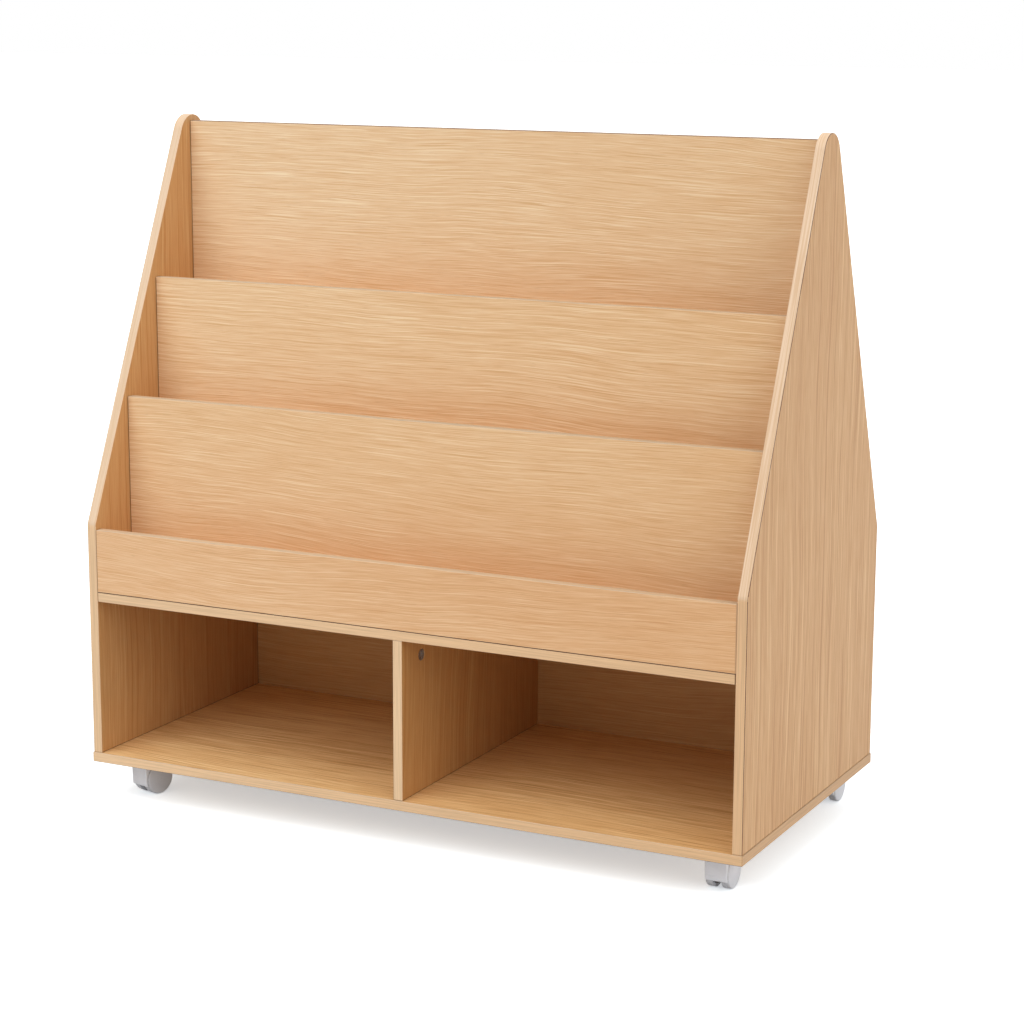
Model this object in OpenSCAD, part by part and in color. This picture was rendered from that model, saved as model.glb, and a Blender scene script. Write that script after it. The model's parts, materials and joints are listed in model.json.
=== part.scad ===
// Kids bookcase on four twin-wheel casters: three display pockets above two open cubbies.
// Millimetres. X runs along the width, Y towards the back, Z up from the floor.

/* [Overall size] */
// Width of the base board
base_w = 900; // [800:10:1000]
// Depth of the base board
base_d = 455; // [430:5:520]
// Height of the rounded tops above the floor
total_h = 870; // [860:5:960]

/* [Boards] */
// Thickness of every board
board_t = 12.5; // [12:0.5:16]
// Width of the eased edges
edge_ease = 0.6; // [0.3:0.1:1.2]
// How far the base board stands out past the side panels
base_reveal = 1; // [0.5:0.5:4]
// Gap between a board's end and the side panel it is pulled against
end_gap = 0.3; // [0.1:0.1:0.5]

/* [Side panels] */
// How far above the lip's top the upright edge starts to bend
bend_rise = 4; // [1:0.5:20]
// Radius of the bend between the upright edge and the slope
bend_r = 15; // [10:5:90]
// Radius of the rounded top
apex_r = 28; // [20:1:40]
// How far the rounded top stands behind the middle of the depth
apex_shift = 15; // [0:1:30]

/* [Cubbies] */
// Clear height of the cubbies
cubby_h = 201; // [180:1:220]
// Clear depth of the cubbies
cubby_d = 378.5; // [340:0.5:385]
// Sideways place of the divider between the cubbies
divider_x = 0; // [-100:5:100]

/* [Display pockets] */
// Height of the lip at the front, and of each pocket's front above its floor
lip_h = 81; // [70:1:85]
// Height of the lower display panel
lower_panel_h = 242; // [220:1:255]
// Height of the middle display panel
middle_panel_h = 228; // [210:1:240]
// How far the top display panel stays below the rounded tops
top_drop = 8; // [4:1:20]
// Depth of the front pocket
front_pocket_d = 65; // [57:1:75]
// Depth of the middle pocket
middle_pocket_d = 57.5; // [45:0.5:65]

/* [Cam fittings] */
// Diameter of the cam locks
cam_d = 14.6; // [12:0.1:15]
// Distance of a cam's axis from the joint
cam_inset = 28; // [24:1:34]
// Distance of the first fitting from the end of a joint
fitting_row = 50; // [40:1:60]
// Shank diameter of the cam bolts
bolt_d = 6; // [5:0.1:6.5]
// Diameter of the dowels
dowel_d = 8; // [6:0.5:8]
// Length of the dowels
dowel_l = 30; // [25:1:35]
// Diameter of the screws up through the base board
base_screw_d = 5; // [4:0.1:6]
// Length of the screws up through the base board
base_screw_l = 50; // [40:1:60]

/* [Casters] */
// Height of a caster from the floor to the base board
caster_h = 50; // [50:0.5:56]
// Distance of the casters' swivel axes from the ends of the base board
caster_inset_x = 47; // [44:1:100]
// Distance of the casters' swivel axes from the base board's front and back
caster_inset_y = 42; // [42:0.5:80]
// Distance of the axle behind the swivel axis
caster_trail = 18; // [15:0.5:18]
// Diameter of the wheels
wheel_d = 42; // [39:0.5:42]
// Width of one wheel
wheel_w = 11.5; // [11:0.5:14]
// Thickness of the web between the two wheels
web_t = 10; // [9:0.5:12]
// Width of the hood, which leaves the outer rims of both wheels in sight
hood_w = 28; // [24:0.5:30]
// Wall thickness of the hood over the wheels
hood_wall = 1.5; // [1.2:0.1:2]
// Height of the hood's front edge above the floor
hood_front_z = 13.5; // [11:0.5:15]
// Diameter of the kingpin
kingpin_d = 6; // [5:0.1:6.5]
// Diameter of the axle
axle_d = 5; // [4:0.1:6]
// Side of the mounting plate
plate_w = 38; // [36:1:44]
// Distance between the holes of the mounting plate
plate_hole_pitch = 28; // [26:1:30]

/* [Hidden] */
$fn = 64;
cut = 1;
right_angle = 90;

CASTER_TAGS = ["front_left", "front_right", "rear_left", "rear_right"];
CASTER_SIDES = [[-1, -1], [1, -1], [-1, 1], [1, 1]];
CASTER_TURNS = [-15, 0, 0, 0];
CASTER_PIECES = ["plate", "kingpin", "washer", "hood", "axle", "wheel_left", "wheel_right"];

// Colours
oak = [0.87, 0.71, 0.52];
zinc = [0.45, 0.44, 0.43];
steel = [0.72, 0.73, 0.75];
beech = [0.80, 0.64, 0.44];
nylon = [0.77, 0.77, 0.80];

// Levels above the floor
base_z = caster_h;
floor_z = base_z + board_t;
shelf_z = floor_z + cubby_h;
shelf_top_z = shelf_z + board_t;
lip_top_z = shelf_top_z + lip_h;
lower_top_z = shelf_top_z + lower_panel_h;
lower_floor_z = lower_top_z - lip_h;
middle_top_z = lower_floor_z + middle_panel_h;
upper_floor_z = middle_top_z - lip_h;
top_top_z = total_h - top_drop;

// Places across the width
side_out_x = base_w / 2 - base_reveal;
side_in_x = side_out_x - board_t;
span_w = 2 * (side_in_x - end_gap);

// Places along the depth, each the front face of a board
side_d = base_d - 2 * base_reveal;
front_y = -side_d / 2;
lower_y = front_y + board_t + front_pocket_d;
middle_y = lower_y + board_t + middle_pocket_d;
top_y = apex_shift - board_t / 2;
back_y = front_y + cubby_d;

// Cam and dowel fits
bore_gap = 0.2;
cam_floor_t = 2.5;
cam_bore_l = board_t - cam_floor_t;
cam_end_gap = 0.3;
cam_l = cam_bore_l - bore_gap - cam_end_gap;
cam_head_r = 3.4;
cam_seat_gap = 0.3;
cam_slot_w = 1.8;
cam_slot_l = 9;
cam_slot_h = 1.2;
bolt_thread_d = 5;
bolt_sink = 9;
bolt_neck_d = 4;
bolt_neck_l = 5;
bolt_collar_d = 7.6;
bolt_collar_l = 2.5;
bolt_bore_d = 8;
thread_gap = 0.05;
dowel_sink = 8.5;
dowel_chamfer = 1;
dowel_gap = 0.05;
dowel_end_gap = 0.3;
screw_head_d = 9;
screw_head_h = 3.5;
screw_gap = 0.05;

// Caster sizes
plate_t = 2.5;
plate_corner_r = 4;
plate_hole_d = 4.2;
plate_screw_d = 3.6;
plate_screw_l = 9;
plate_screw_head_d = 7;
plate_screw_head_h = 2;
recess_w = 1.1;
recess_l = 4.2;
recess_h = 0.8;
wheel_gap = 0.8;
wheel_side_gap = 0.4;
wheel_edge_r = 2.5;
wheel_cap_t = 2;
wheel_hub_r = 6;
wheel_rim_t = 3.5;
wheel_web_l = 4;
wheel_dome_r = 120;
wheel_dome_fn = 360;
wheel_shoulder = 1.5;
caster_x = base_w / 2 - caster_inset_x;
caster_y = base_d / 2 - caster_inset_y;
hood_ease = 0.8;
hood_nose_r = 2.5;
hood_nose_wall = 3;
hood_top_gap = 1;
hood_rear_rise = 12;
well_r = wheel_d / 2 + wheel_gap;
hood_r = well_r + hood_wall;
axle_z = wheel_d / 2;
axle_boss_r = 8;
axle_end_gap = 0.4;
axle_l = web_t + 2 * (wheel_w - wheel_cap_t);
run_gap = 0.08;
kingpin_head_d = 10.8;
kingpin_head_h = 1.2;
kingpin_l = 23;
kingpin_groove_d = 5;
kingpin_groove_w = 1.5;
washer_wall = 2.5;
swivel_gap = 0.3;
plate_z = caster_h - plate_t;
hood_top_z = plate_z - plate_screw_head_h - hood_top_gap;

// Places of fittings as shares of the joint that they hold
quarter = 1 / 4;
third = 1 / 3;
half = 1 / 2;
shelf_dowel_share = third / 2;
back_screw_shares = [quarter / 2, 3 * quarter / 2];

// Fittings at the boards' ends: [depth, height, turn], where turn points the cam's face
face_up = 0;
face_down = 180;
face_back = -90;
mid_t = board_t / 2;
shelf_mid_z = shelf_z + mid_t;
shelf_cams = [for (e = [-1, 1]) [e * (side_d / 2 - fitting_row), shelf_mid_z, face_down]];
shelf_dowels = [for (e = [-1, 1]) [e * side_d * shelf_dowel_share, shelf_mid_z, face_down]];
lip_cams = [[front_y + mid_t, shelf_top_z + lip_h * 2 * third, face_back]];
lip_dowels = [[front_y + mid_t, shelf_top_z + lip_h * third, face_back]];
lower_cams = high_row(lower_y, lower_top_z);
lower_dowels = concat(low_row(lower_y, shelf_top_z),
                      between_row(lower_y, shelf_top_z, lower_top_z, half));
middle_cams = high_row(middle_y, middle_top_z);
middle_dowels = concat(low_row(middle_y, lower_floor_z),
                       between_row(middle_y, lower_floor_z, middle_top_z, half));
top_cams = concat(low_row(top_y, shelf_top_z), between_row(top_y, shelf_top_z, top_top_z, half),
                  high_row(top_y, top_top_z));
top_dowels = concat(between_row(top_y, shelf_top_z, top_top_z, quarter),
                    between_row(top_y, shelf_top_z, top_top_z, 3 * quarter));
back_cams = concat(low_row(back_y, floor_z), high_row(back_y, shelf_z));
back_dowels = between_row(back_y, floor_z, shelf_z, half);
lower_floor_d = top_y - lower_y - board_t;
upper_floor_d = top_y - middle_y - board_t;
lower_floor_cams = floor_fitting(lower_y, lower_floor_d, lower_floor_z, third);
lower_floor_dowels = floor_fitting(lower_y, lower_floor_d, lower_floor_z, 2 * third);
upper_floor_cams = floor_fitting(middle_y, upper_floor_d, upper_floor_z, third);
upper_floor_dowels = floor_fitting(middle_y, upper_floor_d, upper_floor_z, 2 * third);
side_cams = concat(shelf_cams, lip_cams, lower_cams, middle_cams, top_cams, back_cams,
                   lower_floor_cams, upper_floor_cams);
side_dowels = concat(shelf_dowels, lip_dowels, lower_dowels, middle_dowels, top_dowels, back_dowels,
                     lower_floor_dowels, upper_floor_dowels);

// Fittings in the divider's top edge, by depth
divider_cam_ys = [front_y + fitting_row];
divider_dowel_ys = [front_y + cubby_d * half, back_y - fitting_row];

// Dowels under the standing boards: [depth, height of the joint]
standing_dowels = [[front_y + mid_t, shelf_top_z], [lower_y + mid_t, shelf_top_z],
                   [middle_y + mid_t, lower_floor_z], [top_y + mid_t, shelf_top_z]];

// Screws up through the base board: [width, depth]
dowel_span_x = span_w * quarter;
base_screws_xy = concat(
    [for (s = [-1, 1], e = [-1, 0, 1]) [s * (side_in_x + mid_t), e * (side_d / 2 - fitting_row)]],
    [for (e = [1, 2]) [divider_x, front_y + cubby_d * e * third]],
    [for (s = [-1, 1], share = back_screw_shares) [s * span_w * share, back_y + mid_t]]);

function low_row(y, z0) = [[y + mid_t, z0 + fitting_row, face_back]];
function high_row(y, z1) = [[y + mid_t, z1 - fitting_row, face_back]];
function between_row(y, z0, z1, share) = [[y + mid_t, z0 + (z1 - z0) * share, face_back]];
function floor_fitting(y, d, z, share) = [[y + board_t + d * share, z - mid_t, face_up]];
function eased_outline(a, b, e) =
    [[e, 0], [a - e, 0], [a, e], [a, b - e], [a - e, b], [e, b], [0, b - e], [0, e]];

// Point where the slope leaves a circle at centre c with radius r, seen along the unit vector n
function tangent_point(c, r, n) = c + r * n;
// Unit vector square to the line that touches both circles on side s, -1 for the front
function slope_normal(c1, r1, c2, r2, s) =
    let (v = c2 - c1, d = norm(v), a = atan2(v[1], v[0]), b = asin((r1 - r2) / d))
    [cos(a - s * (right_angle - b)), sin(a - s * (right_angle - b))];

// A board from its lowest corner, with every edge eased
module eased_board(corner, size) {
    translate(corner)
        intersection() {
            linear_extrude(size[2]) polygon(eased_outline(size[0], size[1], edge_ease));
            translate([0, size[1], 0])
                rotate([right_angle, 0, 0])
                    linear_extrude(size[1]) polygon(eased_outline(size[0], size[2], edge_ease));
            rotate([right_angle, 0, right_angle])
                linear_extrude(size[0]) polygon(eased_outline(size[1], size[2], edge_ease));
        }
}

// A board that spans the side panels
module span_board(y, z, d, h) {
    eased_board([-span_w / 2, y, z], [span_w, d, h]);
}

// Puts a fitting at a side panel's inner face, X into the panel and Z out of the cam's face
module at_side(s, fitting) {
    translate([s * side_in_x, fitting[0], fitting[1]])
        rotate([0, 0, s > 0 ? 0 : 2 * right_angle])
            rotate([s * fitting[2], 0, 0])
                children();
}

// Puts a fitting in the divider's top edge, X up into the shelf and Z out of the right face
module at_divider(y) {
    translate([divider_x, y, shelf_z])
        rotate([0, 0, 2 * right_angle])
            rotate([0, -right_angle, 0])
                children();
}

// Puts a dowel under a standing board, X down into the board below
module at_foot(s, fitting) {
    translate([s * dowel_span_x, fitting[0], fitting[1]])
        rotate([0, right_angle, 0])
            children();
}

// Lies a shape that was made along Z down along X
module along_x() {
    rotate([0, right_angle, 0]) children();
}

// Space that a cam lock and its bolt take in both boards
module cam_cut() {
    translate([-cam_inset, 0, mid_t - cam_bore_l])
        cylinder(d = cam_d + 2 * bore_gap, h = cam_bore_l + cut);
    translate([-cam_inset, 0, 0]) along_x() cylinder(d = bolt_bore_d, h = cam_inset);
    along_x() cylinder(d = bolt_thread_d + 2 * thread_gap, h = bolt_sink + bore_gap);
}

// Space that a dowel takes in both boards
module dowel_cut() {
    translate([dowel_sink - dowel_l - dowel_end_gap, 0, 0])
        along_x() cylinder(d = dowel_d + 2 * dowel_gap, h = dowel_l + 2 * dowel_end_gap);
}

module end_cuts(cams, dowels) {
    for (s = [-1, 1]) {
        for (f = cams) at_side(s, f) cam_cut();
        for (f = dowels) at_side(s, f) dowel_cut();
    }
}

module divider_cuts() {
    for (y = divider_cam_ys) at_divider(y) cam_cut();
    for (y = divider_dowel_ys) at_divider(y) dowel_cut();
}

module foot_cuts() {
    for (s = [-1, 1], f = standing_dowels) at_foot(s, f) dowel_cut();
}

// A countersunk screw from its head up, made wider and longer by gap for its hole
module base_screw(gap) {
    translate([0, 0, -gap])
        cylinder(d1 = screw_head_d + 2 * gap, d2 = base_screw_d + 2 * gap, h = screw_head_h + gap);
    cylinder(d = base_screw_d + 2 * gap, h = base_screw_l + gap);
}

module base_screw_cuts() {
    for (p = base_screws_xy) translate([p[0], p[1], base_z]) base_screw(screw_gap);
}

module plate_screw_cuts() {
    for (i = [0 : len(CASTER_TAGS) - 1])
        at_plate(i) at_plate_holes()
            translate([0, 0, caster_h])
                cylinder(d = plate_screw_d + 2 * screw_gap, h = plate_screw_l + bore_gap);
}

module base_board() {
    color(oak)
        difference() {
            eased_board([-base_w / 2, -base_d / 2, base_z], [base_w, base_d, board_t]);
            base_screw_cuts();
            plate_screw_cuts();
        }
}

// Outline of a side panel, depth along X and height along Y
apex_c = [apex_shift, total_h - apex_r];
bend_z = lip_top_z + bend_rise;
function bend_c(s) = [s * (side_d / 2 - bend_r), bend_z];
function side_normal(s) = slope_normal(bend_c(s), bend_r, apex_c, apex_r, s);
function side_corners(s) =
    [[s * side_d / 2, floor_z], [s * side_d / 2, bend_z],
     tangent_point(bend_c(s), bend_r, side_normal(s)),
     tangent_point(apex_c, apex_r, side_normal(s))];

// Wedges that ease both edges of a plate of thickness t by e, along the straight run from point a
// to point b, with the plate on the right
module straight_ease(a, b, t, e) {
    run = b - a;
    far = e + cut;
    top = t / 2;
    translate([a[0], a[1], 0])
        rotate([0, 0, atan2(run[1], run[0])])
            translate([-e, 0, 0])
                rotate([right_angle, 0, right_angle])
                    linear_extrude(norm(run) + 2 * e)
                        for (s = [-1, 1])
                            polygon([[-far, s * (top + cut)], [cut, s * (top - far)],
                                     [cut, s * (top + cut)]]);
}

// A disc of thickness t, with its edges eased by e
module eased_disc(c, r, t, e) {
    translate([c[0], c[1], e - t / 2]) cylinder(r = r, h = t - 2 * e);
    translate([c[0], c[1], t / 2 - e]) cylinder(r1 = r, r2 = r - e, h = e);
    translate([c[0], c[1], -t / 2]) cylinder(r1 = r - e, r2 = r, h = e);
}

module side_board() {
    front = side_corners(-1);
    back = side_corners(1);
    difference() {
        translate([0, 0, -mid_t])
            linear_extrude(board_t) polygon(concat(front, [for (i = [3 : -1 : 0]) back[i]]));
        straight_ease(front[0], front[1], board_t, edge_ease);
        straight_ease(front[2], front[3], board_t, edge_ease);
        straight_ease(back[3], back[2], board_t, edge_ease);
        straight_ease(back[1], back[0], board_t, edge_ease);
        straight_ease(back[0], front[0], board_t, edge_ease);
    }
    eased_disc(apex_c, apex_r, board_t, edge_ease);
    for (s = [-1, 1]) eased_disc(bend_c(s), bend_r, board_t, edge_ease);
}

module side_panel(s) {
    difference() {
        translate([s * (side_in_x + mid_t), 0, 0])
            rotate([right_angle, 0, right_angle])
                side_board();
        for (f = side_cams) at_side(s, f) cam_cut();
        for (f = side_dowels) at_side(s, f) dowel_cut();
        base_screw_cuts();
    }
}

module left_side_panel() {
    color(oak) side_panel(-1);
}

module right_side_panel() {
    color(oak) side_panel(1);
}

module centre_divider() {
    color(oak)
        difference() {
            eased_board([divider_x - mid_t, front_y, floor_z], [board_t, cubby_d, cubby_h]);
            divider_cuts();
            base_screw_cuts();
        }
}

module cubby_back_panel() {
    color(oak)
        difference() {
            span_board(back_y, floor_z, board_t, cubby_h);
            end_cuts(back_cams, back_dowels);
            base_screw_cuts();
        }
}

module shelf_board() {
    color(oak)
        difference() {
            span_board(front_y, shelf_z, side_d, board_t);
            end_cuts(shelf_cams, shelf_dowels);
            divider_cuts();
            foot_cuts();
        }
}

module front_lip() {
    color(oak)
        difference() {
            span_board(front_y, shelf_top_z, board_t, lip_h);
            end_cuts(lip_cams, lip_dowels);
            foot_cuts();
        }
}

module lower_display_panel() {
    color(oak)
        difference() {
            span_board(lower_y, shelf_top_z, board_t, lower_panel_h);
            end_cuts(lower_cams, lower_dowels);
            foot_cuts();
        }
}

module middle_display_panel() {
    color(oak)
        difference() {
            span_board(middle_y, lower_floor_z, board_t, middle_panel_h);
            end_cuts(middle_cams, middle_dowels);
            foot_cuts();
        }
}

module top_display_panel() {
    color(oak)
        difference() {
            span_board(top_y, shelf_top_z, board_t, top_top_z - shelf_top_z);
            end_cuts(top_cams, top_dowels);
            foot_cuts();
        }
}

module lower_pocket_floor() {
    color(oak)
        difference() {
            span_board(lower_y + board_t, lower_floor_z - board_t, lower_floor_d, board_t);
            end_cuts(lower_floor_cams, lower_floor_dowels);
            foot_cuts();
        }
}

module upper_pocket_floor() {
    color(oak)
        difference() {
            span_board(middle_y + board_t, upper_floor_z - board_t, upper_floor_d, board_t);
            end_cuts(upper_floor_cams, upper_floor_dowels);
        }
}

// A cam lock: a short drum with a seat for the bolt's head and a cross slot in its face
module cam_lock() {
    face_z = mid_t - bore_gap;
    difference() {
        translate([-cam_inset, 0, face_z - cam_l]) cylinder(d = cam_d, h = cam_l);
        translate([-cam_inset, 0, 0]) sphere(r = cam_head_r + cam_seat_gap);
        translate([-cam_inset, 0, 0])
            along_x() cylinder(r = cam_head_r + cam_seat_gap, h = cam_d);
        for (turn = [0, right_angle])
            translate([-cam_inset, 0, face_z - cam_slot_h])
                rotate([0, 0, turn])
                    translate([-cam_slot_l / 2, -cam_slot_w / 2, 0])
                        cube([cam_slot_l, cam_slot_w, cam_slot_h + cut]);
    }
}

module cam_locks() {
    color(zinc) {
        for (s = [-1, 1], f = side_cams) at_side(s, f) cam_lock();
        for (y = divider_cam_ys) at_divider(y) cam_lock();
    }
}

// A cam bolt: thread in the panel, collar at the joint, shank, neck and ball head in the cam
module cam_bolt() {
    neck_end = bolt_neck_l - cam_inset;
    along_x() cylinder(d = bolt_thread_d, h = bolt_sink);
    translate([-bolt_collar_l, 0, 0]) along_x() cylinder(d = bolt_collar_d, h = bolt_collar_l);
    translate([neck_end, 0, 0]) along_x() cylinder(d = bolt_d, h = -neck_end);
    translate([-cam_inset, 0, 0]) along_x() cylinder(d = bolt_neck_d, h = bolt_neck_l);
    translate([-cam_inset, 0, 0]) sphere(r = cam_head_r);
}

module cam_bolts() {
    color(steel) {
        for (s = [-1, 1], f = side_cams) at_side(s, f) cam_bolt();
        for (y = divider_cam_ys) at_divider(y) cam_bolt();
    }
}

// A dowel with chamfered ends, sunk into the board along X
module dowel() {
    r = dowel_d / 2;
    translate([dowel_sink - dowel_l, 0, 0])
        along_x()
            rotate_extrude()
                polygon([[0, 0], [r - dowel_chamfer, 0], [r, dowel_chamfer], [r, dowel_l - dowel_chamfer],
                         [r - dowel_chamfer, dowel_l], [0, dowel_l]]);
}

module dowels() {
    color(beech) {
        for (s = [-1, 1], f = side_dowels) at_side(s, f) dowel();
        for (y = divider_dowel_ys) at_divider(y) dowel();
        for (s = [-1, 1], f = standing_dowels) at_foot(s, f) dowel();
    }
}

module cross_recess(depth) {
    for (turn = [0, right_angle])
        rotate([0, 0, turn])
            translate([-recess_l / 2, -recess_w / 2, -cut]) cube([recess_l, recess_w, depth + cut]);
}

module base_screws() {
    color(steel)
        for (p = base_screws_xy)
            translate([p[0], p[1], base_z])
                difference() {
                    base_screw(0);
                    cross_recess(recess_h);
                }
}

// Puts a caster piece under the base board, with its swivel axis on Z and its trail along Y
module at_caster(i) {
    translate([CASTER_SIDES[i][0] * caster_x, CASTER_SIDES[i][1] * caster_y, 0])
        rotate([0, 0, CASTER_TURNS[i]])
            children();
}

// The mounting plate stays square to the base board while the hood is turned
module at_plate(i) {
    translate([CASTER_SIDES[i][0] * caster_x, CASTER_SIDES[i][1] * caster_y, 0]) children();
}

module at_plate_holes() {
    for (a = [-1, 1], b = [-1, 1])
        translate([a * plate_hole_pitch / 2, b * plate_hole_pitch / 2, 0]) children();
}

module rounded_square(w, r) {
    square([w, w - 2 * r], center = true);
    square([w - 2 * r, w], center = true);
    for (a = [-1, 1], b = [-1, 1]) translate([a * (w / 2 - r), b * (w / 2 - r)]) circle(r = r);
}

module caster_plate() {
    color(steel)
        difference() {
            translate([0, 0, plate_z])
                linear_extrude(plate_t) rounded_square(plate_w, plate_corner_r);
            at_plate_holes()
                translate([0, 0, plate_z - cut])
                    cylinder(d = plate_hole_d, h = plate_t + 2 * cut);
            translate([0, 0, plate_z - cut])
                cylinder(d = kingpin_d + 2 * run_gap, h = plate_t + 2 * cut);
            translate([0, 0, caster_h - kingpin_head_h])
                cylinder(d = kingpin_head_d + 2 * run_gap, h = kingpin_head_h + cut);
        }
}

module caster_kingpin() {
    shank_z = caster_h - kingpin_head_h - kingpin_l;
    color(steel)
        difference() {
            union() {
                translate([0, 0, caster_h - kingpin_head_h])
                    cylinder(d = kingpin_head_d, h = kingpin_head_h);
                translate([0, 0, shank_z]) cylinder(d = kingpin_d, h = kingpin_l);
            }
            translate([0, 0, shank_z + kingpin_groove_w])
                difference() {
                    cylinder(d = kingpin_d + cut, h = kingpin_groove_w);
                    translate([0, 0, -cut])
                        cylinder(d = kingpin_groove_d, h = kingpin_groove_w + 2 * cut);
                }
        }
}

// The thick washer that keeps the hood clear of the plate's screw heads
module caster_washer() {
    washer_t = plate_z - swivel_gap - hood_top_z;
    color(nylon)
        translate([0, 0, hood_top_z])
            difference() {
                cylinder(d = kingpin_d + 2 * washer_wall, h = washer_t);
                translate([0, 0, -cut])
                    cylinder(d = kingpin_d + 2 * swivel_gap, h = washer_t + 2 * cut);
            }
}

// Turns a shape made along Z so that it runs along the axle, centred on the web
module on_axle() {
    translate([0, caster_trail, axle_z]) rotate([0, right_angle, 0]) children();
}

module wheel_wells() {
    for (s = [0, 1])
        mirror([s, 0, 0])
            on_axle() translate([0, 0, web_t / 2]) cylinder(r = well_r, h = wheel_w + hood_w);
}

// Everything of the hood and web below a line that rises from the front edge to the back
module hood_lower_cut() {
    reach = hood_r + cut;
    rotate([right_angle, 0, right_angle])
        translate([caster_trail, 0, -hood_w])
            linear_extrude(2 * hood_w)
                polygon([[-reach, -reach], [reach, -reach], [reach, axle_z + hood_rear_rise],
                         [0, axle_z], [-axle_boss_r, hood_front_z], [-reach, hood_front_z]]);
}

// The hood's outline from the side, depth along X and height along Y: a drum over the wheels and
// a nose around the kingpin, joined by the lines that touch both
drum_c = [caster_trail, axle_z];
nose_c = [hood_nose_r - kingpin_d / 2 - hood_nose_wall, hood_top_z - hood_nose_r];
function hood_normal(s) = slope_normal(drum_c, hood_r, nose_c, hood_nose_r, s);
function hood_corners(s) =
    [tangent_point(drum_c, hood_r, hood_normal(s)),
     tangent_point(nose_c, hood_nose_r, hood_normal(s))];

module hood_body() {
    front = hood_corners(-1);
    top = hood_corners(1);
    rotate([right_angle, 0, right_angle]) {
        difference() {
            translate([0, 0, -hood_w / 2])
                linear_extrude(hood_w)
                    polygon([drum_c, front[0], front[1], nose_c, top[1], top[0]]);
            straight_ease(front[0], front[1], hood_w, hood_ease);
            straight_ease(top[1], top[0], hood_w, hood_ease);
        }
        eased_disc(drum_c, hood_r, hood_w, hood_ease);
        eased_disc(nose_c, hood_nose_r, hood_w, hood_ease);
    }
}

module caster_hood() {
    pin_floor_z = caster_h - kingpin_head_h - kingpin_l - swivel_gap;
    color(nylon)
        difference() {
            union() {
                difference() {
                    hood_body();
                    hood_lower_cut();
                }
                on_axle() translate([0, 0, -web_t / 2]) cylinder(r = axle_boss_r, h = web_t);
            }
            wheel_wells();
            on_axle() translate([0, 0, -web_t]) cylinder(d = axle_d + 2 * run_gap, h = 2 * web_t);
            translate([0, 0, pin_floor_z])
                cylinder(d = kingpin_d + 2 * run_gap, h = caster_h - pin_floor_z);
        }
}

module caster_axle() {
    color(steel) on_axle() translate([0, 0, -axle_l / 2]) cylinder(d = axle_d, h = axle_l);
}

// Half section of a wheel, radius along X and the inner face at Y = 0
module wheel_section() {
    r = wheel_d / 2;
    disc_r = r - wheel_edge_r;
    shoulder = wheel_w - wheel_shoulder;
    bore_r = axle_d / 2 + run_gap;
    bore_l = (axle_l - web_t) / 2 + axle_end_gap;
    difference() {
        union() {
            square([r, shoulder - wheel_edge_r]);
            square([disc_r, shoulder - wheel_edge_r / 2]);
            translate([disc_r, shoulder - wheel_edge_r]) circle(r = wheel_edge_r);
            intersection() {
                square([disc_r, wheel_w]);
                translate([0, wheel_w - wheel_dome_r]) circle(r = wheel_dome_r, $fn = wheel_dome_fn);
            }
        }
        translate([-cut, -cut]) square([bore_r + cut, bore_l + cut]);
        translate([wheel_hub_r, -cut])
            square([r - wheel_rim_t - wheel_hub_r, wheel_w - wheel_web_l + cut]);
    }
}

module caster_wheel(s) {
    color(nylon)
        mirror([s < 0 ? 1 : 0, 0, 0])
            on_axle()
                translate([0, 0, web_t / 2 + wheel_side_gap])
                    rotate_extrude() wheel_section();
}

module caster_screws() {
    head_z = plate_z - plate_screw_head_h;
    color(steel)
        for (i = [0 : len(CASTER_TAGS) - 1])
            at_plate(i) at_plate_holes()
                difference() {
                    union() {
                        translate([0, 0, head_z])
                            cylinder(d = plate_screw_head_d, h = plate_screw_head_h);
                        translate([0, 0, plate_z])
                            cylinder(d = plate_screw_d, h = plate_t + plate_screw_l);
                    }
                    translate([0, 0, head_z]) cross_recess(recess_h);
                }
}

base_board();
left_side_panel();
right_side_panel();
centre_divider();
cubby_back_panel();
shelf_board();
front_lip();
lower_display_panel();
middle_display_panel();
top_display_panel();
lower_pocket_floor();
upper_pocket_floor();
cam_locks();
cam_bolts();
dowels();
base_screws();
caster_screws();
for (i = [0 : len(CASTER_TAGS) - 1]) {
    at_plate(i) caster_plate();
    at_caster(i) caster_kingpin();
    at_caster(i) caster_washer();
    at_caster(i) caster_hood();
    at_caster(i) caster_axle();
    at_caster(i) caster_wheel(-1);
    at_caster(i) caster_wheel(1);
}
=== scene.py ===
import json
import math
from collections import namedtuple

import bpy
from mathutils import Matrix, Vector


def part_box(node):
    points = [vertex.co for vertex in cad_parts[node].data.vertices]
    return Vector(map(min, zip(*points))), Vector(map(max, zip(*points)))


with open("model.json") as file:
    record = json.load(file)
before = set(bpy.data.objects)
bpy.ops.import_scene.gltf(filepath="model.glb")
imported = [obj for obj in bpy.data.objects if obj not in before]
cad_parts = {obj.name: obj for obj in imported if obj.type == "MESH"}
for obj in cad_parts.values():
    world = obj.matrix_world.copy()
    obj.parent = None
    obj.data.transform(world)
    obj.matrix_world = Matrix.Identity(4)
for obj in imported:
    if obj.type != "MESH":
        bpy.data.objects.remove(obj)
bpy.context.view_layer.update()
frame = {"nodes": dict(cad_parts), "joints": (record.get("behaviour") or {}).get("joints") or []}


# Camera, fitted to the photograph's corners. Lengths in metres, angles in degrees.
LENS_MM = 90.0
SENSOR_MM = 36.0
CAMERA_YAW = 26.407
CAMERA_PITCH = 11.578
CAMERA_ROLL = 0.209
CAMERA_DISTANCE = 3.2341
CAMERA_SIGHT = 100.0
AIM_HEIGHT = 0.485
AIM_RIGHT = 0.0372
AIM_UP = -0.1022

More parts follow.
